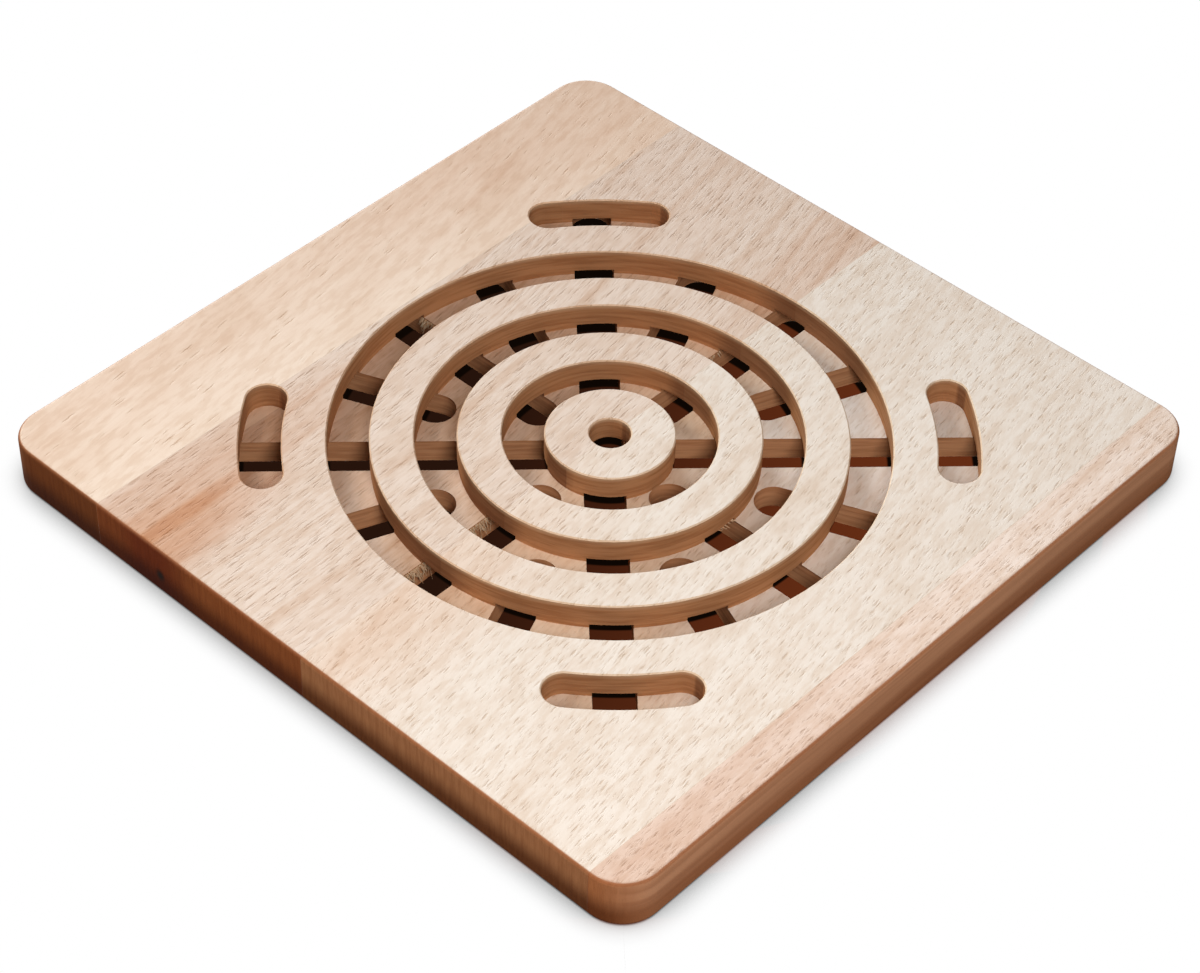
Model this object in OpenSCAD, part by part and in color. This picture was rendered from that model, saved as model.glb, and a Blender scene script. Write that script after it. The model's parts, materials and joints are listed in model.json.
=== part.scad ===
// Square wooden trivet, edge-glued from four staves.
// Ring grooves cut from above cross straight air channels cut from below,
// so the board is open right through wherever the two meet.
// X runs along the grain, Y across the staves, Z up from the table.
// The origin is the centre of the underside.

/* [Board] */
// Side of the square board
board_side = 200; // [196:1:260]
// Thickness of the board
board_thickness = 13.5; // [10:0.5:24]
// Radius of the upright corners, seen from above
corner_radius = 10; // [4:0.5:24]
// Radius of the rounded top and bottom edges
edge_radius = 1; // [0.5:0.1:3]

/* [Staves] */
// Width of the narrow stave along the front
front_stave_width = 10.5; // [6:0.5:14]
// Distance that the middle joint lies in front of the rings' centre
middle_joint_offset = 0.6; // [0:0.1:3]
// Distance that the back joint lies behind the outer ring groove
back_joint_margin = 1.1; // [0.8:0.1:8]
// Thickness of the cured glue between two staves
glue_thickness = 0.1; // [0.05:0.05:0.3]

/* [Top cuts] */
// Distance that the rings' centre sits in front of the board's centre
ring_offset = 2.4; // [0:0.1:5]
// Number of ring grooves
ring_count = 3; // [2:1:3]
// Distance from one ring groove to the next along a radius
ring_pitch = 20.6; // [18:0.1:22]
// Width of the ring grooves and corner slots
groove_width = 10; // [6:0.5:12]
// Depth of the ring grooves and corner slots
groove_depth = 7; // [3:0.5:8]
// Angle between the centres of a corner slot's round ends
slot_angle = 18; // [8:1:30]
// Diameter of the hole in the middle
hole_diameter = 10; // [5:0.5:14]

/* [Bottom cuts] */
// Width of the air channels
channel_width = 10; // [6:0.5:11]
// Height that the channels reach above the groove floors
channel_overlap = 1; // [0.2:0.1:2]
// Distance that the channels' centre sits to the left of the rings' centre, and as far behind it
channel_shift = 1.1; // [0:0.1:2]
// Distance that a channel's inner end lies outside its first ring, doubled for the second ring
start_gap = 0.9; // [0:0.1:2]
// Distance that a channel runs on past the last cut it crosses
channel_runout = 4; // [3:0.5:8]

/* [Sanding] */
// Width of the sanded bevel along the rims of all cuts
rim_bevel = 0.3; // [0.2:0.1:0.8]

/* [Hidden] */
$fn = 128;

// Distance that a cutting shape reaches past the surface it cuts through
clean_cut = 2;
// Channels in one turn; every fourth one lies on a diagonal
channel_count = 16;

half_side = board_side / 2;
outer_ring_radius = ring_count * ring_pitch;
slot_radius = outer_ring_radius + ring_pitch;
rings_centre = [0, -ring_offset];
channels_centre = rings_centre + [-channel_shift, channel_shift];
channel_height = board_thickness - groove_depth + channel_overlap;
front_joint = front_stave_width - half_side;
middle_joint = rings_centre.y - middle_joint_offset;
back_joint = rings_centre.y + outer_ring_radius + groove_width / 2 + back_joint_margin;

function is_diagonal(i) = i % 4 == 2;
// Diagonal channels meet at the centre, the others start in the first or the second ring
function first_ring(i) = is_diagonal(i) ? 0 : (i % 2 == 0 ? 1 : 2);
function channel_start(i) = first_ring(i) * (ring_pitch + start_gap);
// The last cut is a corner slot on the diagonals and the outer ring elsewhere
function last_cut_radius(i) = is_diagonal(i) ? slot_radius : outer_ring_radius;
function channel_end(i) = last_cut_radius(i) + groove_width / 2 + channel_runout;

// Half section of a round cut whose mouth is at height 0, with a bevelled rim
module round_cut_section(width, depth) {
    wall = width / 2;
    polygon([
        [0, -depth],
        [wall, -depth],
        [wall, -rim_bevel],
        [wall + rim_bevel, 0],
        [wall + rim_bevel, clean_cut],
        [0, clean_cut],
    ]);
}

// Full section of a long cut, made of two half sections
module long_cut_section(width, depth) {
    round_cut_section(width, depth);
    mirror([1, 0])
        round_cut_section(width, depth);
}

module round_cut(width, depth) {
    rotate_extrude()
        round_cut_section(width, depth);
}

module ring_cut(radius) {
    rotate_extrude()
        translate([radius, 0])
            long_cut_section(groove_width, groove_depth);
}

// Arc-shaped slot centred on the X axis
module slot_cut() {
    rotate([0, 0, -slot_angle / 2])
        rotate_extrude(angle = slot_angle)
            translate([slot_radius, 0])
                long_cut_section(groove_width, groove_depth);
    for (side = [-1, 1])
        rotate([0, 0, side * slot_angle / 2])
            translate([slot_radius, 0])
                round_cut(groove_width, groove_depth);
}

// Straight channel along the X axis with round ends, open downwards
module channel_cut(start, end) {
    rotate([180, 0, 0]) {
        translate([start, 0])
            rotate([90, 0, 90])
                linear_extrude(end - start)
                    long_cut_section(channel_width, channel_height);
        for (x = [start, end])
            translate([x, 0])
                round_cut(channel_width, channel_height);
    }
}

module top_cuts() {
    for (ring = [1:ring_count])
        ring_cut(ring * ring_pitch);
    for (corner = [0:3])
        rotate([0, 0, 45 + 90 * corner])
            slot_cut();
    round_cut(hole_diameter, board_thickness + clean_cut);
}

module bottom_cuts() {
    for (i = [0:channel_count - 1])
        rotate([0, 0, i * 360 / channel_count])
            channel_cut(channel_start(i), channel_end(i));
}

module board_outline() {
    straight = board_side - 2 * corner_radius;
    square([board_side, straight], center = true);
    square([straight, board_side], center = true);
    for (x = [-1, 1], y = [-1, 1])
        translate([x, y] * straight / 2)
            circle(r = corner_radius);
}

// Waste outside a rounded edge whose arc is centred on the origin
module edge_waste_section() {
    difference() {
        square(edge_radius + clean_cut);
        circle(r = edge_radius);
    }
}

// Waste along the top edge, one side and one corner at a time
module edge_waste() {
    straight = board_side - 2 * corner_radius;
    for (turn = [0:3])
        rotate([0, 0, 90 * turn]) {
            translate([half_side - edge_radius, straight / 2, 0])
                rotate([90, 0, 0])
                    linear_extrude(straight)
                        edge_waste_section();
            translate([straight / 2, straight / 2, 0])
                rotate_extrude(angle = 90)
                    translate([corner_radius - edge_radius, 0])
                        edge_waste_section();
        }
}

module blank() {
    difference() {
        linear_extrude(board_thickness)
            board_outline();
        translate([0, 0, board_thickness - edge_radius])
            edge_waste();
        translate([0, 0, edge_radius])
            mirror([0, 0, 1])
                edge_waste();
    }
}

module board() {
    difference() {
        blank();
        translate([0, 0, board_thickness])
            translate(rings_centre)
                top_cuts();
        translate(channels_centre)
            bottom_cuts();
    }
}

// The part of the finished board between two planes across the staves
module board_slice(from, to) {
    reach = half_side + clean_cut;
    intersection() {
        board();
        translate([-reach, from, -clean_cut])
            cube([2 * reach, to - from, board_thickness + 2 * clean_cut]);
    }
}

module stave(front, back) {
    board_slice(front + glue_thickness / 2, back - glue_thickness / 2);
}

module glue_line(joint) {
    color("goldenrod")
        board_slice(joint - glue_thickness / 2, joint + glue_thickness / 2);
}

module front_stave() {
    color("tan")
        stave(-half_side - clean_cut, front_joint);
}

module wide_stave() {
    color("bisque")
        stave(front_joint, middle_joint);
}

module middle_stave() {
    color("burlywood")
        stave(middle_joint, back_joint);
}

module back_stave() {
    color("navajowhite")
        stave(back_joint, half_side + clean_cut);
}

module front_glue_line() {
    glue_line(front_joint);
}

module middle_glue_line() {
    glue_line(middle_joint);
}

module back_glue_line() {
    glue_line(back_joint);
}

front_stave();
wide_stave();
middle_stave();
back_stave();
front_glue_line();
middle_glue_line();
back_glue_line();
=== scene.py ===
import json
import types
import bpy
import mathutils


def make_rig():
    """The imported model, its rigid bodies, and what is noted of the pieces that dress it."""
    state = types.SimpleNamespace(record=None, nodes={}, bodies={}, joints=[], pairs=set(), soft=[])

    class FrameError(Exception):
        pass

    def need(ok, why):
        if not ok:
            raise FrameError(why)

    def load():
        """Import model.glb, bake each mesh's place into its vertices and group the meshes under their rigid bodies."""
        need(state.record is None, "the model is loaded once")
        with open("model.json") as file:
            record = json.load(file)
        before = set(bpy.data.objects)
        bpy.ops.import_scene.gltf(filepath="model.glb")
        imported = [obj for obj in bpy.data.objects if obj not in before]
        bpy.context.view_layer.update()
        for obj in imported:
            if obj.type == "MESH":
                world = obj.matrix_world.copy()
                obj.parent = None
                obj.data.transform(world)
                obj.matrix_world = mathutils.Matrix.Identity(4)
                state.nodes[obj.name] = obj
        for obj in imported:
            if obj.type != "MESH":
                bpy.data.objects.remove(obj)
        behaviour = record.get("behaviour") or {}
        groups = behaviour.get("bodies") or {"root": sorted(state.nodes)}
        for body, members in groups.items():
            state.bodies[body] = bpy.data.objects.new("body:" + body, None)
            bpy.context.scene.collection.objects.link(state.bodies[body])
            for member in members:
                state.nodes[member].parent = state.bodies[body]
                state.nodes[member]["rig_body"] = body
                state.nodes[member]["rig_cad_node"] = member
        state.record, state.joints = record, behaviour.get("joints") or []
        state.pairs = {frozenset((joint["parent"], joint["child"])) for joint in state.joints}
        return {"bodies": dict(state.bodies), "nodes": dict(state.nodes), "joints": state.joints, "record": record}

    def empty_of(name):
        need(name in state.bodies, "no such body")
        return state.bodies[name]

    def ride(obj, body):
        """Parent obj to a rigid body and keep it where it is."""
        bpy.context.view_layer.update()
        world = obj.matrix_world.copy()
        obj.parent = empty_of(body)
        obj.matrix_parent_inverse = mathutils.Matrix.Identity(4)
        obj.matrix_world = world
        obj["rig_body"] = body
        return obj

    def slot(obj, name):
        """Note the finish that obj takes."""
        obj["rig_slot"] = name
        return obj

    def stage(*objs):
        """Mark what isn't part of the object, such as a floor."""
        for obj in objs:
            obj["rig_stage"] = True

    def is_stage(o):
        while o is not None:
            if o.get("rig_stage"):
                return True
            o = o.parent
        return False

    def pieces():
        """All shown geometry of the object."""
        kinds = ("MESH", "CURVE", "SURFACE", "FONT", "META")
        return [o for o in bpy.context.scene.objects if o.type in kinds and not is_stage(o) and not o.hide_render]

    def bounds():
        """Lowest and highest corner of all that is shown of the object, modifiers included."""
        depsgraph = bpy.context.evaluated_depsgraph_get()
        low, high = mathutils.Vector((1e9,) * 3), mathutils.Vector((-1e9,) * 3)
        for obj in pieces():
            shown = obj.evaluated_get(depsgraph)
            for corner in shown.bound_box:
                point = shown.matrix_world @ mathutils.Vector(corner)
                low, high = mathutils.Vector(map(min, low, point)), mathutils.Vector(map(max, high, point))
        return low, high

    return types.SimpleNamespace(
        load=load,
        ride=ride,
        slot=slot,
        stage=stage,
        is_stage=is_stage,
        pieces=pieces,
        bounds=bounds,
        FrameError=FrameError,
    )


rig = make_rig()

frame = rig.load()

import json
import math

import bpy
from bpy.props import FloatProperty, FloatVectorProperty, PointerProperty
from bpy.types import Operator, Panel, PropertyGroup
from mathutils import Matrix, Vector

bl_info = {
    "name": "Beech Trivet",
    "version": (1, 0, 0),
    "blender": (4, 5, 0),
    "location": "3D View > Sidebar > Trivet",
    "description": "Finishes the staves of a grooved beech trivet and sets it on a studio floor",
    "category": "Object",
}

CAD_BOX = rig.bounds()
MM = 0.001
WHITE = (1.0, 1.0, 1.0)
CORNER_RADIUS = 10 * MM
RING_PITCH = 20.6 * MM


def srgb(red, green, blue):
    """Turns 8-bit screen values into the linear colour that Blender works with."""
    return tuple(
        v / 12.92 if v <= 0.04045 else ((v + 0.055) / 1.055) ** 2.4
        for v in (red / 255, green / 255, blue / 255)
    )


def in_mm(*lengths):
    """Turns lengths in millimetres into a vector in metres."""
    return tuple(length * MM for length in lengths)


def tone_property(name, default, description):
    return FloatVectorProperty(
        name=name, description=description, subtype="COLOR", size=3, min=0.0, max=1.0, default=default
    )


def length_property(name, default, low, high, description):
    return FloatProperty(
        name=name, description=description, default=default, min=low, max=high,
        subtype="DISTANCE", unit="LENGTH",
    )


def power_property(name, default, description):
    return FloatProperty(name=name, description=description, default=default, min=0.0, unit="POWER")


class TrivetBeech(PropertyGroup):
    """Tones and figure of the beech staves."""

    front_tone: tone_property("Front stave", srgb(241, 224, 212), "Face tone of the narrow front stave")
    wide_tone: tone_property("Wide stave", srgb(236, 225, 214), "Face tone of the wide, palest stave")
    middle_tone: tone_property("Middle stave", srgb(230, 212, 198), "Face tone of the middle stave")
    back_tone: tone_property(
        "Back stave", srgb(241, 221, 203), "Face tone of the back stave beside its joint"
    )
    peach_tone: tone_property(
        "Warm wood", srgb(228, 198, 175), "Warm wood at the outside of the back stave and in the wide one"
    )
    rose_tone: tone_property(
        "Front stave, left", srgb(216, 184, 164), "Darker tone at the left end of the front stave"
    )
    heart_tone: tone_property("Heartwood", srgb(205, 155, 120), "Pink-brown heartwood in the middle stave")
    fleck_tone: tone_property(
        "Flecks", srgb(213, 195, 175), "Ray flecks of the wide and back staves, laid over the wood"
    )
    dash_tone: tone_property(
        "Dark flecks", srgb(194, 174, 154), "Darker flecks of the front and middle staves"
    )
    back_end_tone: tone_property("Back end grain", srgb(117, 65, 31), "Outer ends of the back stave")
    middle_end_tone: tone_property("Middle end grain", srgb(148, 86, 46), "Outer ends of the middle stave")
    heart_end_tone: tone_property(
        "Heartwood ends", srgb(112, 50, 22), "Ends of the middle stave where heartwood comes out"
    )
    wide_end_tone: tone_property("Wide end grain", srgb(178, 125, 86), "Outer ends of the wide stave")
    front_end_tone: tone_property(
        "Front end grain", srgb(188, 124, 80), "Outer ends of the narrow front stave"
    )
    side_tone: tone_property("Outer sides", srgb(206, 154, 118), "Long-grain outer sides")
    wall_tone: tone_property("Cut walls", srgb(182, 134, 94), "Walls of the cuts made from above")
    channel_tone: tone_property(
        "Channel walls", srgb(200, 148, 108), "Walls of the channels cut from below"
    )
    # Painted highlight: a paler band along the upper part of the walls of the cuts
    rim_highlight_tone: tone_property(
        "Rims", srgb(230, 204, 170), "Upper part of the walls, rubbed paler by the sanding"
    )
    # Painted shade: this tint darkens the floors of the cuts, except towards the front right corner
    floor_shade_tint: tone_property("Cut floors", srgb(240, 226, 212), "Tint of the unsanded floors of the cuts")
    glue_tone: tone_property("Glue", srgb(216, 192, 170), "Cured glue in the joint lines")
    knot_tone: tone_property("Knot", srgb(20, 8, 4), "Pin knot in the left end of the middle stave")
    fleck_length: length_property(
        "Fleck length", 3.9 * MM, 1 * MM, 20 * MM, "Length of a fleck's cell in the front and wide staves"
    )
    dash_length: length_property(
        "Long fleck length", 6.0 * MM, 1 * MM, 20 * MM,
        "Length of a fleck's cell in the middle and back staves",
    )
    fleck_width: length_property("Fleck width", 0.68 * MM, 0.2 * MM, 5 * MM, "Width of a fleck's cell")


class TrivetFibres(PropertyGroup):
    """Torn fibres left in the air channels by the cutter."""

    strand_width: length_property(
        "Strand width", 0.5 * MM, 0.1 * MM, 2 * MM, "Width of a torn fibre at its root"
    )
    fibre_tone: tone_property("Torn fibres", srgb(206, 186, 156), "Tone of the torn fibres")


class TrivetStage(PropertyGroup):
    """Floor, light and camera."""

    floor_side: length_property("Floor side", 40.0, 1.0, 100.0, "Side of the square floor")
    shadow_reach: length_property(
        "Shadow reach", 10 * MM, 1 * MM, 100 * MM, "Distance over which the object shades the floor"
    )
    # Painted shade and a painted warm glow on the floor seen through the cuts
    under_shade_tone: tone_property("Under the left", srgb(38, 20, 12), "Floor seen through the cuts on the left")
    under_glow_tone: tone_property(
        "Under the right", srgb(100, 45, 21), "Floor seen through the cuts on the right"
    )
    ambient: FloatProperty(
        name="Ambient", description="Strength of the even light from above", default=0.06, min=0.0
    )
    glow: FloatProperty(
        name="Glow", description="Strength of the even light on the underside", default=0.4, min=0.0
    )
    window_power: power_property("Window power", 158.0, "Power of the low light from behind")
    skylight_power: power_property("Skylight power", 35.0, "Power of the higher light from the back left")
    front_power: power_property("Front power", 2.5, "Power of the warm light from the front")
    left_power: power_property("Left power", 0.85, "Power of the weak light from the left")
    lens: FloatProperty(
        name="Lens", description="Focal length of the camera", default=93.455, min=1.0,
        subtype="DISTANCE_CAMERA", unit="CAMERA",
    )
    camera_place: FloatVectorProperty(
        name="Camera place", description="Where the camera stands", subtype="TRANSLATION", unit="LENGTH",
        size=3, default=(-0.4008, -0.36063, 0.51415),
    )
    camera_turn: FloatVectorProperty(
        name="Camera turn", description="How the camera is turned", subtype="EULER", size=3,
        default=tuple(math.radians(a) for a in (46.0319, -1.1796, -46.8552)),
    )


def fill_inputs(tree, node, inputs):
    """Fills a node's inputs with sockets to link or plain values; a plain colour gets its alpha here."""
    for key, value in inputs.items():
        socket = node.inputs[key]
        if isinstance(value, bpy.types.NodeSocket):
            tree.links.new(value, socket)
        elif socket.type == "RGBA":
            socket.default_value = (*value, 1.0)
        else:
            socket.default_value = value


def add_node(tree, kind, inputs=None, **settings):
    """Adds a node, sets it up and fills its inputs."""
    node = tree.nodes.new(kind)
    for name, value in settings.items():
        setattr(node, name, value)
    fill_inputs(tree, node, inputs or {})
    return node


def calc(tree, operation, *values, clamp=False):
    node = add_node(tree, "ShaderNodeMath", dict(enumerate(values)), operation=operation, use_clamp=clamp)
    return node.outputs[0]


def calc_vector(tree, operation, *values):
    node = add_node(tree, "ShaderNodeVectorMath", dict(enumerate(values)), operation=operation)
    return node.outputs["Value" if operation in {"LENGTH", "DOT_PRODUCT"} else "Vector"]


def ramp(tree, value, start, end, low=0.0, high=1.0):
    """Smooth step of a value from low at start to high at end."""
    node = add_node(
        tree, "ShaderNodeMapRange",
        {"Value": value, "From Min": start, "From Max": end, "To Min": low, "To Max": high},
        interpolation_type="SMOOTHSTEP",
    )
    return node.outputs["Result"]


def blend_value(tree, factor, first, second):
    inputs = {0: factor, 2: first, 3: second}
    return add_node(tree, "ShaderNodeMix", inputs, data_type="FLOAT").outputs[0]


def blend_color(tree, factor, first, second, mode="MIX"):
    inputs = {0: factor, 6: first, 7: second}
    return add_node(tree, "ShaderNodeMix", inputs, data_type="RGBA", blend_type=mode).outputs[2]


def tint(tree, factor, color, tone):
    return blend_color(tree, factor, color, tone, "MULTIPLY")


def split(tree, vector):
    return add_node(tree, "ShaderNodeSeparateXYZ", {0: vector}).outputs


def stretched(tree, place, size, turn=0.0, centre=(0.0, 0.0, 0.0)):
    """Puts a pattern at centre, turned about Z, with one unit of it as long as size on each axis."""
    node = add_node(
        tree, "ShaderNodeMapping",
        {"Vector": place, "Location": centre, "Rotation": (0.0, 0.0, turn), "Scale": size},
        vector_type="TEXTURE",
    )
    return node.outputs["Vector"]


def noise(tree, place, size, detail=2.0, rough=0.5):
    """Noise with features of a size along each axis."""
    node = add_node(tree, "ShaderNodeTexNoise", {
        "Vector": stretched(tree, place, size), "Scale": 1.0, "Detail": detail, "Roughness": rough,
    })
    return node.outputs[0]


def move_aside(tree, place, amount):
    """Moves a place along Y."""
    return calc_vector(tree, "ADD", place, add_node(tree, "ShaderNodeCombineXYZ", {"Y": amount}).outputs[0])


def waver(tree, place, size, amount):
    """Moves a place to and fro across the grain, in waves of a size."""
    swing = calc(tree, "SUBTRACT", noise(tree, place, size, 1.0), 0.5)
    return move_aside(tree, place, calc(tree, "MULTIPLY", swing, amount))


def spot(tree, place, centre, size):
    """Soft spot that is 1 at its centre and 0 one size away from it."""
    away = calc_vector(tree, "LENGTH", stretched(tree, place, size, 0.0, centre))
    return ramp(tree, away, 1.0, 0.15)


def shader_group(name, inputs, outputs):
    """Makes an empty node group with named sockets and returns it with its inner ends."""
    group = bpy.data.node_groups.new(name, "ShaderNodeTree")
    kinds = {"vector": "NodeSocketVector", "color": "NodeSocketColor", "value": "NodeSocketFloat"}
    for socket, kind in inputs:
        group.interface.new_socket(name=socket, in_out="INPUT", socket_type=kinds[kind])
    for socket, kind in outputs:
        group.interface.new_socket(name=socket, in_out="OUTPUT", socket_type=kinds[kind])
    inlet = group.nodes.new("NodeGroupInput")
    outlet = group.nodes.new("NodeGroupOutput")
    return group, inlet.outputs, outlet.inputs


# Size of one feature of each figure in the timber: along the grain, across it and through the board
DRIFT_SIZE = in_mm(90, 50, 50)
BAND_SIZE = in_mm(160, 4.2, 4.2)
THREAD_SIZE = in_mm(30, 0.6, 0.6)
CLOUD_SIZE = in_mm(30, 14, 14)
MOTTLE_SIZE = in_mm(5, 1.6, 1.6)
RAGGED_SIZE = in_mm(1.6, 0.6, 0.6)
# How far the growth bands drift across the grain, and how ragged a fleck's edge is
DRIFT = 6 * MM
RAGGED = 0.6 * MM
# Short flecks: size beside a long one, turn against it and strength beside it
SHORT_FLECK_SIZE = (0.55, 0.75, 0.75)
SHORT_FLECK_TURN = 0.06
SHORT_FLECK_STRENGTH = 0.6
FLECK_STRENGTH = 0.57
# Tints that the other figures lay over the wood
STREAK_TINT = srgb(236, 220, 205)
THREAD_TINT = srgb(238, 226, 214)
CLOUD_TINT = srgb(240, 230, 220)
MOTTLE_TINT = srgb(241, 233, 225)


def flecks(tree, place, size, turn, share):
    """Short dashes along the grain, one in each of a share of the cells."""
    inputs = {"Vector": stretched(tree, place, size, turn), "Scale": 1.0}
    cells = add_node(tree, "ShaderNodeTexVoronoi", inputs)
    luck = add_node(tree, "ShaderNodeSeparateColor", {0: cells.outputs["Color"]})
    dash = ramp(tree, cells.outputs["Distance"], 0.5, 0.1)
    dash = calc(tree, "MULTIPLY", dash, calc(tree, "LESS_THAN", luck.outputs[0], share))
    return calc(tree, "MULTIPLY", dash, ramp(tree, luck.outputs[1], 0.0, 1.0, 0.3, 1.0))


def make_beech_grain():
    """Face of a beech stave: growth bands, heartwood, fine pores and short ray flecks."""
    group, given, made = shader_group(
        "Beech grain",
        (
            ("Place", "vector"), ("Tone", "color"), ("Heart tone", "color"), ("Heart", "value"),
            ("Fleck tone", "color"), ("Fleck size", "vector"), ("Fleck share", "value"),
            ("Streaks", "value"),
        ),
        (("Color", "color"), ("Roughness", "value"), ("Height", "value")),
    )
    place = given["Place"]
    wavy = waver(group, place, DRIFT_SIZE, DRIFT)
    bands = noise(group, wavy, BAND_SIZE, 3.0, 0.55)
    threads = noise(group, wavy, THREAD_SIZE, 3.0, 0.6)
    clouds = noise(group, place, CLOUD_SIZE)

    shaken = waver(group, place, RAGGED_SIZE, RAGGED)
    mottle = noise(group, shaken, MOTTLE_SIZE)
    long_fleck = flecks(group, shaken, given["Fleck size"], 0.0, given["Fleck share"])
    short_size = calc_vector(group, "MULTIPLY", given["Fleck size"], SHORT_FLECK_SIZE)
    short_fleck = flecks(group, shaken, short_size, SHORT_FLECK_TURN, given["Fleck share"])
    fleck = calc(group, "MAXIMUM", long_fleck, calc(group, "MULTIPLY", short_fleck, SHORT_FLECK_STRENGTH))

    heart = calc(group, "MULTIPLY", given["Heart"], ramp(group, bands, 0.25, 0.7, 0.7, 1.1), clamp=True)
    color = blend_color(group, heart, given["Tone"], given["Heart tone"])
    streak = calc(group, "MULTIPLY", ramp(group, bands, 0.47, 0.72), given["Streaks"])
    color = tint(group, streak, color, STREAK_TINT)
    fineness = calc(group, "MULTIPLY_ADD", given["Streaks"], 0.6, 0.12)
    thread = calc(group, "MULTIPLY", ramp(group, threads, 0.42, 0.75), fineness)
    color = tint(group, thread, color, THREAD_TINT)
    color = tint(group, ramp(group, clouds, 0.45, 0.8, 0.0, 0.5), color, CLOUD_TINT)
    color = tint(group, ramp(group, mottle, 0.38, 0.68, 0.0, 0.65), color, MOTTLE_TINT)
    color = tint(group, calc(group, "MULTIPLY", fleck, FLECK_STRENGTH), color, given["Fleck tone"])

    group.links.new(color, made["Color"])
    group.links.new(calc(group, "MULTIPLY_ADD", fleck, 0.12, 0.58), made["Roughness"])
    group.links.new(calc(group, "SUBTRACT", calc(group, "MULTIPLY", threads, 0.35), fleck), made["Height"])
    return group


# Distance from the board's centre beyond which a face belongs to the outer sides
OUTSIDE = 90 * MM
# Size of one mark on end grain, on long-grain sides and on walls left by the cutter
RAY_SIZE = in_mm(20, 1.1, 12)
LINE_SIZE = in_mm(70, 30, 2.2)
MARK_SIZE = in_mm(14, 14, 0.9)
MARK_TINT = srgb(200, 178, 160)
# Tint of the walls that face the left end, partly the darker open cut grain there and partly painted shade, and the
# way those walls face
OPEN_GRAIN_SHADE_TINT = srgb(198, 192, 194)
OPEN_GRAIN_SHADE_FACING = (-0.985, 0.174, 0.0)
# Heights between which each tone sets in
FOOT_SHADE_HEIGHTS = in_mm(9.5, 2.5)
CHANNEL_HEIGHTS = in_mm(6.8, 5.5)
RIM_HIGHLIGHT_HEIGHTS = in_mm(11.8, 13.4)
FLOOR_SHADE_HEIGHTS = in_mm(12, 9.5)
# Painted shade towards the foot of the outer sides, and painted shade where their upper edge rounds over
SIDE_FOOT_SHADE = srgb(204, 184, 166)
END_FOOT_SHADE = srgb(150, 128, 106)
BROW_SHADE = srgb(226, 210, 198)
# Tints on the rounded rims of the cuts, a painted warm highlight, and on the rounded outer edges, painted shade
RIM_HIGHLIGHT_TINT = srgb(253, 240, 222)
EDGE_SHADE_TINT = srgb(205, 158, 126)
# Distances towards the front right corner between which the painted shade on the floors of the cuts fades out
FLOOR_SHADE_FADE = in_mm(90, 40)
FLOOR_SHADE_SLANT = -1.7


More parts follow.
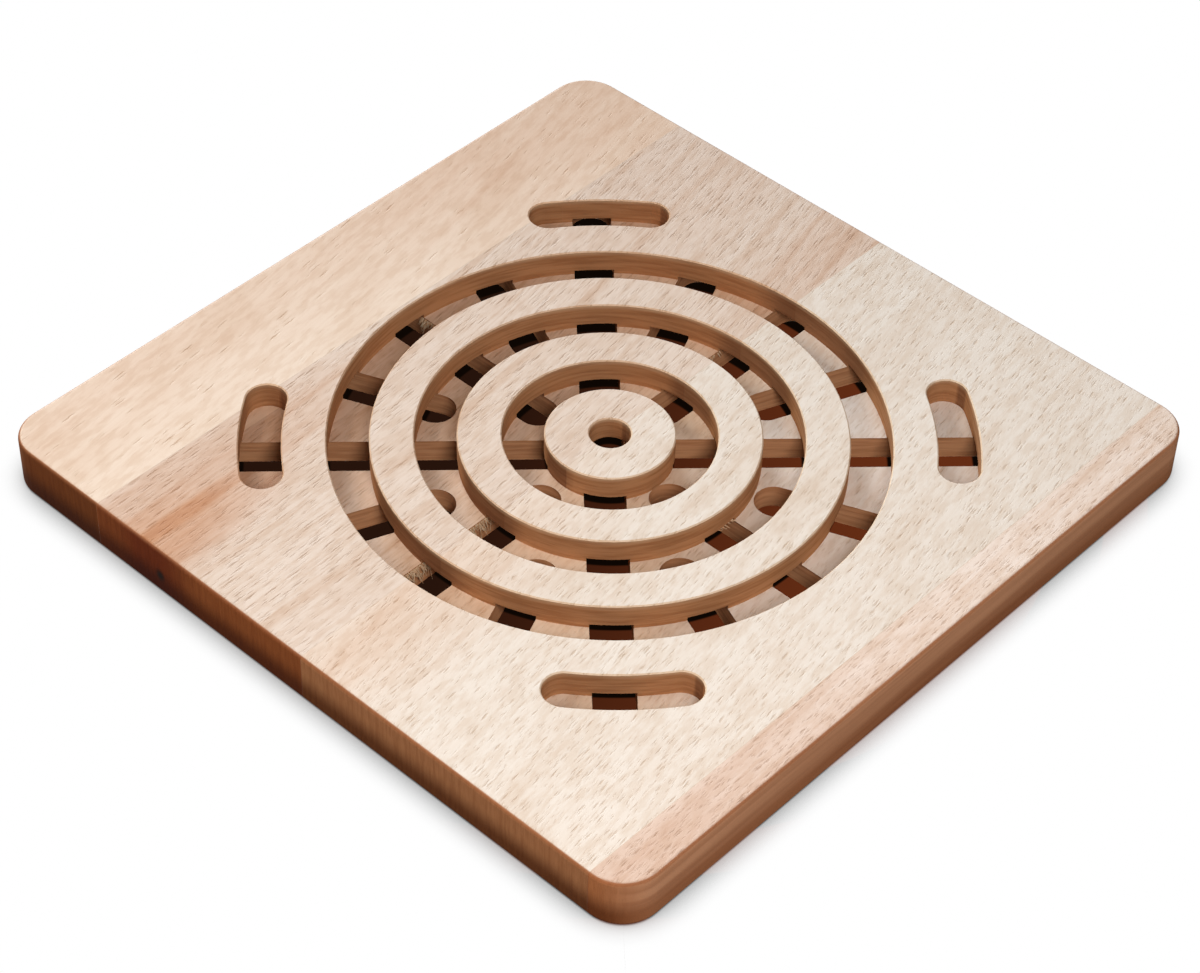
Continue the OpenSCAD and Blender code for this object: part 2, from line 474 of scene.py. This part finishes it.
def make_cut_faces():
    """All faces but the top: end grain and long grain outside, cutter-marked walls and floors inside."""
    group, given, made = shader_group(
        "Cut faces",
        (
            ("Color", "color"), ("Place", "vector"), ("Facing", "vector"), ("Height", "value"),
            ("End tone", "color"), ("Side tone", "color"), ("Wall tone", "color"),
            ("Channel tone", "color"), ("Rim highlight tone", "color"), ("Floor shade tint", "color"),
        ),
        (("Color", "color"), ("Upright", "value"), ("Height", "value")),
    )
    facing = split(group, given["Facing"])
    place = split(group, given["Place"])
    level = calc(group, "ABSOLUTE", facing["Z"])
    endways = calc(group, "POWER", calc(group, "ABSOLUTE", facing["X"]), 2.0)
    reach = calc(group, "MAXIMUM", calc(group, "ABSOLUTE", place["X"]), calc(group, "ABSOLUTE", place["Y"]))
    outside = calc(group, "GREATER_THAN", reach, OUTSIDE)
    upright = blend_value(group, outside, ramp(group, level, 0.68, 0.4), ramp(group, level, 0.97, 0.75))

    outer = blend_color(group, endways, given["Side tone"], given["End tone"])
    # Painted shade: the outer sides darken towards their foot and where their upper edge rounds over
    foot_shade = blend_color(group, endways, SIDE_FOOT_SHADE, END_FOOT_SHADE)
    outer = tint(group, ramp(group, place["Z"], *FOOT_SHADE_HEIGHTS), outer, foot_shade)
    outer = tint(group, ramp(group, level, 0.1, 0.5), outer, BROW_SHADE)

    end_share = calc(group, "MULTIPLY", endways, 0.35)
    walls = blend_color(group, end_share, given["Wall tone"], given["End tone"])
    leftward = calc_vector(group, "DOT_PRODUCT", given["Facing"], OPEN_GRAIN_SHADE_FACING)
    # Partly the darker open end grain, partly painted shade on the walls that face the left end
    walls = tint(group, ramp(group, leftward, 0.93, 0.985), walls, OPEN_GRAIN_SHADE_TINT)
    low = ramp(group, place["Z"], *CHANNEL_HEIGHTS, 0.0, 0.85)
    walls = blend_color(group, low, walls, given["Channel tone"])
    # Painted highlight: the walls turn towards the rim tone near their top
    high = ramp(group, place["Z"], *RIM_HIGHLIGHT_HEIGHTS, 0.0, 0.4)
    walls = blend_color(group, high, walls, given["Rim highlight tone"])

    rays = noise(group, given["Place"], RAY_SIZE, 4.0, 0.65)
    lines = noise(group, given["Place"], LINE_SIZE, 3.0, 0.55)
    marks = noise(group, given["Place"], MARK_SIZE, 3.0, 0.55)
    grain = blend_value(group, outside, marks, blend_value(group, endways, lines, rays))
    strength = calc(group, "MULTIPLY_ADD", outside, -0.1, 0.55)
    strength = calc(group, "MULTIPLY", ramp(group, grain, 0.36, 0.68), strength)
    cut = tint(group, strength, blend_color(group, outside, walls, outer), MARK_TINT)

    # Painted shade on the floors of the cuts, fading out towards the front right corner
    rightward = calc(group, "MULTIPLY_ADD", place["Y"], FLOOR_SHADE_SLANT, place["X"])
    sunk = ramp(group, place["Z"], *FLOOR_SHADE_HEIGHTS)
    painted_floor_shade = calc(group, "MULTIPLY", sunk, ramp(group, rightward, *FLOOR_SHADE_FADE))
    flat = tint(group, painted_floor_shade, given["Color"], given["Floor shade tint"])
    # Painted highlight on the rims of the cuts, painted shade on the rounded outer edges
    painted_rim_and_edge_tint = blend_color(group, outside, RIM_HIGHLIGHT_TINT, EDGE_SHADE_TINT)
    flat = tint(group, ramp(group, level, 0.98, 0.75), flat, painted_rim_and_edge_tint)

    group.links.new(blend_color(group, upright, flat, cut), made["Color"])
    group.links.new(upright, made["Upright"])
    group.links.new(blend_value(group, upright, given["Height"], grain), made["Height"])
    return group


def new_material(name):
    """Makes a material with one Principled shader and returns it with its tree and that shader."""
    material = bpy.data.materials.new(name)
    material.use_nodes = True
    tree = material.node_tree
    tree.nodes.clear()
    shader = tree.nodes.new("ShaderNodeBsdfPrincipled")
    out = tree.nodes.new("ShaderNodeOutputMaterial")
    tree.links.new(shader.outputs[0], out.inputs["Surface"])
    return material, tree, shader


def bumped(tree, strength, distance, height):
    inputs = {"Strength": strength, "Distance": distance, "Height": height}
    return add_node(tree, "ShaderNodeBump", inputs).outputs[0]


def add_cut_faces(tree, beech, space, color, height, end_tone):
    """Adds the cut faces to a material and returns their outputs."""
    inputs = {
        "Color": color, "Place": space["Object"], "Facing": space["Normal"], "Height": height,
        "End tone": end_tone, "Side tone": beech.side_tone, "Wall tone": beech.wall_tone,
        "Channel tone": beech.channel_tone, "Rim highlight tone": beech.rim_highlight_tone, "Floor shade tint": beech.floor_shade_tint,
    }
    return add_node(tree, "ShaderNodeGroup", inputs, node_tree=bpy.data.node_groups["Cut faces"]).outputs


def make_beech(
    name, beech, tone, heart_tone, end_tone, fleck_tone, fleck_length, fleck_share, streaks,
    run, shift, hearts, heart_end_tone=None, knot=None,
):
    """Makes one stave's beech, with its own tones and its own stretch of timber.

    run is the slope of the grain and its curve along the stave, shift the place in the timber that the
    stave was sawn from, and hearts lists the centre, size and strength of each patch of heart tone.
    """
    material, tree, shader = new_material(name)
    space = tree.nodes.new("ShaderNodeTexCoord").outputs
    slope, curve = run
    along = split(tree, space["Object"])["X"]
    aside = calc(tree, "MULTIPLY", calc(tree, "MULTIPLY_ADD", along, -curve, -slope), along)
    timber = calc_vector(tree, "ADD", move_aside(tree, space["Object"], aside), shift)
    heart = 0.0
    for centre, size, strength in hearts:
        patch = spot(tree, space["Object"], centre, size)
        heart = calc(tree, "MULTIPLY_ADD", patch, strength, heart, clamp=True)
    grain = add_node(tree, "ShaderNodeGroup", {
        "Place": timber, "Tone": tone, "Heart tone": heart_tone, "Heart": heart, "Fleck tone": fleck_tone,
        "Fleck size": (fleck_length, beech.fleck_width, beech.fleck_width), "Fleck share": fleck_share,
        "Streaks": streaks,
    }, node_tree=bpy.data.node_groups["Beech grain"]).outputs
    if heart_end_tone:
        end_tone = blend_color(tree, heart, end_tone, heart_end_tone)
    cut = add_cut_faces(tree, beech, space, grain["Color"], grain["Height"], end_tone)
    color = cut["Color"]
    if knot:
        color = blend_color(tree, spot(tree, space["Object"], *knot), color, beech.knot_tone)
    roughness = calc(tree, "MULTIPLY_ADD", cut["Upright"], 0.3, grain["Roughness"], clamp=True)
    fill_inputs(tree, shader, {
        "Base Color": color, "Roughness": roughness,
        "Normal": bumped(tree, 0.4, 0.25 * MM, cut["Height"]), "Specular IOR Level": 0.12,
    })
    return material


def dress(node_name, material):
    """Gives a CAD node its finished material."""
    node = frame["nodes"][node_name]
    node.data.materials.clear()
    node.data.materials.append(material)


class TRIVET_OT_staves(Operator):
    """Finish the four staves in beech"""

    bl_idname = "trivet.staves"
    bl_label = "Finish Staves"

    def execute(self, context):
        beech = context.scene.trivet_beech
        make_beech_grain()
        make_cut_faces()
        dress("front_stave", make_beech(
            "front beech", beech,
            tone=beech.front_tone, heart_tone=beech.rose_tone, end_tone=beech.front_end_tone,
            fleck_tone=beech.dash_tone, fleck_length=beech.fleck_length, fleck_share=0.7, streaks=0.5,
            run=(0.05, 0.0), shift=(0.31, 0.17, 0.05),
            hearts=[((-0.11, -0.1, 0.0), (0.14, 0.03, 1.0), 0.9)],
        ))
        dress("wide_stave", make_beech(
            "wide beech", beech,
            tone=beech.wide_tone, heart_tone=beech.peach_tone, end_tone=beech.wide_end_tone,
            fleck_tone=beech.fleck_tone, fleck_length=beech.fleck_length, fleck_share=0.55, streaks=0.2,
            run=(0.16, 0.1), shift=(0.0, 0.0, 0.0),
            hearts=[((-0.1, -0.004, 0.0), (0.14, 0.035, 1.0), 0.6)],
        ))
        dress("middle_stave", make_beech(
            "middle beech", beech,
            tone=beech.middle_tone, heart_tone=beech.heart_tone, end_tone=beech.middle_end_tone,
            fleck_tone=beech.dash_tone, fleck_length=beech.dash_length, fleck_share=0.65, streaks=0.6,
            run=(0.125, 0.52), shift=(-0.43, 0.29, 0.11),
            hearts=[
                ((-0.104, 0.0445, 0.0), (0.055, 0.016, 1.0), 0.8),
                ((-0.1, 0.057, 0.0), (0.11, 0.022, 1.0), 0.5),
                ((0.105, 0.004, 0.0), (0.09, 0.02, 1.0), 0.3),
                ((0.08, 0.05, 0.0), (0.1, 0.04, 1.0), 0.15),
            ],
            heart_end_tone=beech.heart_end_tone,
            knot=(in_mm(-100, 44.1, 5.4), in_mm(4, 2.2, 2.6)),
        ))
        dress("back_stave", make_beech(
            "back beech", beech,
            tone=beech.back_tone, heart_tone=beech.peach_tone, end_tone=beech.back_end_tone,
            fleck_tone=beech.fleck_tone, fleck_length=beech.dash_length, fleck_share=0.1, streaks=0.15,
            run=(0.17, 0.3), shift=(0.77, -0.4, 0.2),
            hearts=[
                ((0.0, 0.105, 0.0), (0.5, 0.042, 1.0), 0.55),
                # This warm patch at the right end of the back stave is partly its wood and partly painted shade
                # darkening that corner
                ((0.12, 0.085, 0.0), (0.16, 0.07, 1.0), 0.8),
            ],
        ))
        return {"FINISHED"}


class TRIVET_OT_glue_lines(Operator):
    """Finish the three glue lines between the staves"""

    bl_idname = "trivet.glue_lines"
    bl_label = "Finish Glue Lines"

    def execute(self, context):
        beech = context.scene.trivet_beech
        material, tree, shader = new_material("cured glue")
        space = tree.nodes.new("ShaderNodeTexCoord").outputs
        beads = noise(tree, space["Object"], in_mm(4, 1, 2), 3.0)
        color = blend_color(tree, ramp(tree, beads, 0.35, 0.7), beech.glue_tone, beech.fleck_tone)
        cut = add_cut_faces(tree, beech, space, color, beads, beech.middle_end_tone)
        fill_inputs(tree, shader, {
            "Base Color": cut["Color"], "Roughness": ramp(tree, beads, 0.3, 0.7, 0.4, 0.6),
            "Normal": bumped(tree, 0.2, 0.1 * MM, cut["Height"]), "Specular IOR Level": 0.2,
        })
        for node_name in ("front_glue_line", "middle_glue_line", "back_glue_line"):
            dress(node_name, material)
        return {"FINISHED"}


# Tufts of torn fibres on each stave: first and last root, way they hang, how many, longest; in millimetres
TUFTS = {
    "middle": (
        ((-65.6, 3.9, 6.2), (-54.0, 3.9, 6.2), (0.2, -0.2, -0.9), 72, 5.2),
        ((-45.0, 3.9, 6.2), (-33.6, 3.9, 6.2), (0.2, -0.2, -0.9), 66, 4.8),
        ((4.1, 55.6, 6.2), (4.1, 65.2, 6.2), (-0.25, 0.2, -0.9), 56, 4.4),
        ((37.4, 3.9, 6.3), (46.0, 3.9, 6.3), (-0.3, -0.35, -0.85), 18, 3.0),
    ),
    "wide": (
        ((-2.2, -38.0, 7.6), (3.2, -38.0, 7.6), (0.1, -0.9, -0.2), 9, 2.4),
    ),
}
# Neighbouring strands that lean the same way
LOCK = 8
# A strand's corners, its thickness beside its width, and the rise, shift and narrowing of each section
STRAND_CORNERS = 6
STRAND_THICKNESS = 0.55
STRAND_SECTIONS = (
    (0.2, 0.0, 0.95),
    (0.25, 0.02, 0.85),
    (0.25, 0.05, 0.75),
    (0.2, 0.08, 0.55),
    (0.1, 0.06, 0.25),
)


def deselect_all():
    if bpy.context.object and bpy.context.object.mode != "OBJECT":
        bpy.ops.object.mode_set(mode="OBJECT")
    bpy.ops.object.select_all(action="DESELECT")


def tip_centre(strand):
    """Middle of the selected end of a strand that is being extruded in edit mode."""
    strand.update_from_editmode()
    tip = [v.co for v in strand.data.vertices if v.select]
    return sum(tip, Vector()) / len(tip)


def model_strand():
    """Models one torn fibre along +Z, a unit long and wide: a flat root drawn out into a curved tip."""
    deselect_all()
    bpy.ops.mesh.primitive_circle_add(
        vertices=STRAND_CORNERS, radius=0.5, fill_type="NGON", location=(0, 0, 0)
    )
    strand = bpy.context.object
    bpy.ops.object.mode_set(mode="EDIT")
    bpy.ops.mesh.select_all(action="SELECT")
    bpy.ops.transform.resize(value=(1.0, STRAND_THICKNESS, 1.0), center_override=(0, 0, 0))
    for rise, aside, shrink in STRAND_SECTIONS:
        bpy.ops.mesh.extrude_region_move(TRANSFORM_OT_translate={"value": (0.0, aside, rise)})
        bpy.ops.transform.resize(value=(shrink, shrink, 1.0), center_override=tip_centre(strand))
    bpy.ops.mesh.select_all(action="SELECT")
    bpy.ops.mesh.normals_make_consistent(inside=False)
    bpy.ops.object.mode_set(mode="OBJECT")
    return strand


def place_strand(first, last, hang, count, longest, number, width):
    """Place, turn and size of one strand of a tuft."""
    lock = number // LOCK
    sway = math.sin(5.1 * number + longest)
    along = (Vector(last) - Vector(first)).normalized()
    root = Vector(first).lerp(Vector(last), (number + 0.35 * sway) / (count - 1))
    lean = 0.3 * sway + 0.55 * math.sin(2.3 * lock + longest)
    away = 0.25 * (1.0 + math.sin(1.9 * number)) * Vector((hang[0], hang[1], 0.0)).normalized()
    turn = (Vector(hang) + lean * along + away).to_track_quat("Z", "Y").to_matrix().to_4x4()
    spin = Matrix.Rotation(number * 2.4, 4, "Z")
    length = longest * (0.62 + 0.22 * math.sin(3.7 * number) + 0.16 * math.sin(1.7 * lock)) * MM
    return Matrix.Translation(root * MM) @ turn @ spin @ Matrix.Diagonal((width, width, length, 1.0))


def make_torn_fibre(fibres, beech):
    """Pale frayed wood with some of the wall's tone left in it."""
    material, tree, shader = new_material("torn fibre")
    place = tree.nodes.new("ShaderNodeTexCoord").outputs["Object"]
    frayed = noise(tree, place, in_mm(0.6, 0.6, 1.5), 3.0, 0.6)
    color = blend_color(tree, ramp(tree, frayed, 0.35, 0.7), fibres.fibre_tone, beech.wall_tone)
    fill_inputs(tree, shader, {
        "Base Color": color, "Roughness": ramp(tree, frayed, 0.3, 0.7, 0.65, 0.85),
        "Specular IOR Level": 0.2,
    })
    return material


class TRIVET_OT_torn_fibres(Operator):
    """Model the torn fibres in the mouths of some channels"""

    bl_idname = "trivet.torn_fibres"
    bl_label = "Model Torn Fibres"

    def execute(self, context):
        fibres = context.scene.trivet_fibres
        material = make_torn_fibre(fibres, context.scene.trivet_beech)
        master = model_strand()
        for stave, tufts in TUFTS.items():
            deselect_all()
            for first, last, hang, count, longest in tufts:
                for number in range(count):
                    strand = bpy.data.objects.new("strand", master.data.copy())
                    context.scene.collection.objects.link(strand)
                    strand.data.transform(
                        place_strand(first, last, hang, count, longest, number, fibres.strand_width)
                    )
                    strand.select_set(True)
            context.view_layer.objects.active = strand
            bpy.ops.object.join()
            bpy.ops.object.shade_smooth()
            torn = context.object
            torn.name = f"torn_fibres_{stave}"
            torn.data.materials.clear()
            torn.data.materials.append(material)
            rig.ride(torn, "root")
            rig.slot(torn, f"{stave}_beech")
        bpy.data.objects.remove(master)
        return {"FINISHED"}


# The floor lies a hair below the board
FLOOR_HEIGHT = -0.05 * MM
# Rays that start closer to the floor than this pass through it, so the underside isn't blacked out
CLEAR_GAP = 0.3 * MM
# Floor as the other surfaces see it, kept dim so that it throws little light back
DIM_FLOOR = (0.26, 0.19, 0.14)
# Painted deep shade on the floor under the lands
PAINTED_DEEP_SHADE = (0.004, 0.002, 0.001)
# Direction across the board in which the painted floor under it turns from painted shade to a painted warm glow, and
# where it does
PAINTED_GLOW_DIRECTION = (0.5, -0.87, 0.0)
PAINTED_GLOW_SPAN = in_mm(-35, 75)
# Centre of the rings as painted light from the front falls on the floor, and the painted light's edge under a groove
PAINTED_LIT_CENTRE = in_mm(4.1, 1.3, 0)
PAINTED_LIT_EDGE = in_mm(5.3, 4.7)
# Width of the soft border between the floor under the board and the floor around it
BORDER = 1.5 * MM

# Lamps: place, aim, diameter and colour
LAMPS = {
    "window": ((1.902, 3.295, 1.236), (0.0, 0.0, 0.0), 1.2, (0.80, 0.91, 1.0)),
    "skylight": ((-1.696, 2.938, 2.12), (0.0, 0.0, 0.0), 1.2, (1.0, 1.0, 0.92)),
    "front": ((-0.25, -0.38, 0.455), (0.0, -0.02, 0.0), 0.25, (1.0, 0.95, 0.92)),
    "left": ((-0.32, 0.28, 0.42), (-0.02, 0.0, 0.0), 0.2, (1.0, 0.88, 0.75)),
}


def add_lamp(name, power):
    place, aim, size, color = LAMPS[name]
    light = bpy.data.lights.new(name, "AREA")
    light.shape = "DISK"
    light.size = size
    light.energy = power
    light.color = color
    lamp = bpy.data.objects.new(name, light)
    bpy.context.scene.collection.objects.link(lamp)
    lamp.location = place
    lamp.rotation_euler = (Vector(aim) - Vector(place)).to_track_quat("-Z", "Y").to_euler()


def seen_directly(tree):
    """1 for rays that show the background itself, straight, in a gloss or through glass."""
    path = tree.nodes.new("ShaderNodeLightPath").outputs
    mirrored = calc(tree, "MAXIMUM", path["Is Glossy Ray"], path["Is Transmission Ray"])
    return calc(tree, "MAXIMUM", path["Is Camera Ray"], mirrored)


def painted_floor_under_board(tree, stage, place):
    """Painted colour of the floor seen through the cuts: painted shade, a painted warm glow to the right and painted
    light a little under the grooves.
    """
    across = calc_vector(tree, "DOT_PRODUCT", place, PAINTED_GLOW_DIRECTION)
    under = blend_color(tree, ramp(tree, across, *PAINTED_GLOW_SPAN), stage.under_shade_tone, stage.under_glow_tone)
    from_centre = calc_vector(tree, "LENGTH", calc_vector(tree, "SUBTRACT", place, PAINTED_LIT_CENTRE))
    from_ring = calc(tree, "PINGPONG", from_centre, RING_PITCH / 2)
    return blend_color(tree, ramp(tree, from_ring, *PAINTED_LIT_EDGE), PAINTED_DEEP_SHADE, under)


def distance_beyond_corners(tree, place):
    """Distance of a place on the floor from the square between the centres of the board's corners."""
    corner = Vector((CAD_BOX[1][0] - CORNER_RADIUS, CAD_BOX[1][1] - CORNER_RADIUS, 1.0))
    beyond = calc_vector(tree, "SUBTRACT", calc_vector(tree, "ABSOLUTE", place), corner)
    return calc_vector(tree, "LENGTH", calc_vector(tree, "MAXIMUM", beyond, (0.0, 0.0, 0.0)))


def make_pale_floor(stage):
    """White floor with a soft contact shadow, painted shade under the board and clear from below."""
    material = bpy.data.materials.new("pale floor")
    material.use_nodes = True
    tree = material.node_tree
    tree.nodes.clear()
    place = tree.nodes.new("ShaderNodeTexCoord").outputs["Object"]
    beyond = distance_beyond_corners(tree, place)
    outside = ramp(tree, beyond, CORNER_RADIUS - BORDER, CORNER_RADIUS)
    far = ramp(tree, beyond, CORNER_RADIUS + stage.shadow_reach, CORNER_RADIUS + 2.0 * stage.shadow_reach)
    open_sky = add_node(tree, "ShaderNodeAmbientOcclusion", {"Distance": stage.shadow_reach}, samples=16)
    lightness = calc(tree, "MAXIMUM", ramp(tree, open_sky.outputs["AO"], 0.1, 0.9), far)
    # Under the board the floor shows the painted shade and glow
    lightness = calc(tree, "MULTIPLY", outside, lightness)
    color = blend_color(tree, lightness, painted_floor_under_board(tree, stage, place), WHITE)

    seen = add_node(tree, "ShaderNodeEmission", {"Color": color})
    dim = add_node(tree, "ShaderNodeBsdfDiffuse", {"Color": DIM_FLOOR})
    inputs = {0: seen_directly(tree), 1: dim.outputs[0], 2: seen.outputs[0]}
    solid = add_node(tree, "ShaderNodeMixShader", inputs)
    length = tree.nodes.new("ShaderNodeLightPath").outputs["Ray Length"]
    below = tree.nodes.new("ShaderNodeNewGeometry").outputs["Backfacing"]
    below = calc(tree, "MAXIMUM", below, calc(tree, "LESS_THAN", length, CLEAR_GAP))
    clear = tree.nodes.new("ShaderNodeBsdfTransparent")
    both = add_node(tree, "ShaderNodeMixShader", {0: below, 1: solid.outputs[0], 2: clear.outputs[0]})
    add_node(tree, "ShaderNodeOutputMaterial", {"Surface": both.outputs[0]})
    return material


def make_studio(stage):
    """White surroundings that shed only a little even light, more of it from below than from above."""
    world = bpy.data.worlds.new("studio")
    world.use_nodes = True
    tree = world.node_tree
    tree.nodes.clear()
    height = split(tree, tree.nodes.new("ShaderNodeTexCoord").outputs["Generated"])["Z"]
    even = ramp(tree, height, -0.02, 0.02, stage.glow, stage.ambient)
    strength = blend_value(tree, seen_directly(tree), even, 1.0)
    sky = add_node(tree, "ShaderNodeBackground", {"Color": WHITE, "Strength": strength})
    add_node(tree, "ShaderNodeOutputWorld", {"Surface": sky.outputs[0]})
    return world


class TRIVET_OT_stage(Operator):
    """Set up the floor, the light and the camera"""

    bl_idname = "trivet.stage"
    bl_label = "Set Up Stage"

    def execute(self, context):
        scene = context.scene
        stage = scene.trivet_stage
        scene.view_settings.view_transform = "Standard"
        deselect_all()
        bpy.ops.mesh.primitive_plane_add(size=stage.floor_side, location=(0.0, 0.0, FLOOR_HEIGHT))
        floor = context.object
        floor.name = "floor"
        floor.data.materials.append(make_pale_floor(stage))
        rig.stage(floor)
        scene.world = make_studio(stage)

        add_lamp("window", stage.window_power)
        add_lamp("skylight", stage.skylight_power)
        add_lamp("front", stage.front_power)
        add_lamp("left", stage.left_power)

        eye = bpy.data.cameras.new("camera")
        eye.sensor_width = 36.0
        eye.lens = stage.lens
        eye.clip_start = 0.01
        camera = bpy.data.objects.new("camera", eye)
        scene.collection.objects.link(camera)
        camera.location = stage.camera_place
        camera.rotation_euler = stage.camera_turn
        scene.camera = camera
        return {"FINISHED"}


class TRIVET_PT_panel(Panel):
    """Tools for the beech trivet"""

    bl_label = "Beech Trivet"
    bl_space_type = "VIEW_3D"
    bl_region_type = "UI"
    bl_category = "Trivet"

    def draw(self, context):
        layout = self.layout
        for operator, settings in (
            (TRIVET_OT_staves, context.scene.trivet_beech),
            (TRIVET_OT_glue_lines, None),
            (TRIVET_OT_torn_fibres, context.scene.trivet_fibres),
            (TRIVET_OT_stage, context.scene.trivet_stage),
        ):
            layout.operator(operator.bl_idname)
            for name in settings.bl_rna.properties.keys() if settings else ():
                if name not in {"rna_type", "name"}:
                    layout.prop(settings, name)


CLASSES = (
    TrivetBeech,
    TrivetFibres,
    TrivetStage,
    TRIVET_OT_staves,
    TRIVET_OT_glue_lines,
    TRIVET_OT_torn_fibres,
    TRIVET_OT_stage,
    TRIVET_PT_panel,
)


def register():
    for cls in CLASSES:
        bpy.utils.register_class(cls)
    bpy.types.Scene.trivet_beech = PointerProperty(type=TrivetBeech)
    bpy.types.Scene.trivet_fibres = PointerProperty(type=TrivetFibres)
    bpy.types.Scene.trivet_stage = PointerProperty(type=TrivetStage)


def unregister():
    del bpy.types.Scene.trivet_stage
    del bpy.types.Scene.trivet_fibres
    del bpy.types.Scene.trivet_beech
    for cls in reversed(CLASSES):
        bpy.utils.unregister_class(cls)


def main():
    register()
    bpy.ops.trivet.staves()
    bpy.ops.trivet.glue_lines()
    bpy.ops.trivet.torn_fibres()
    bpy.ops.trivet.stage()
    boxes = {"cad": CAD_BOX, "visual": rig.bounds()}
    with open("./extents.json", "w") as file:
        json.dump({name: [list(corner) for corner in box] for name, box in boxes.items()}, file)


if __name__ == "__main__":
    main()
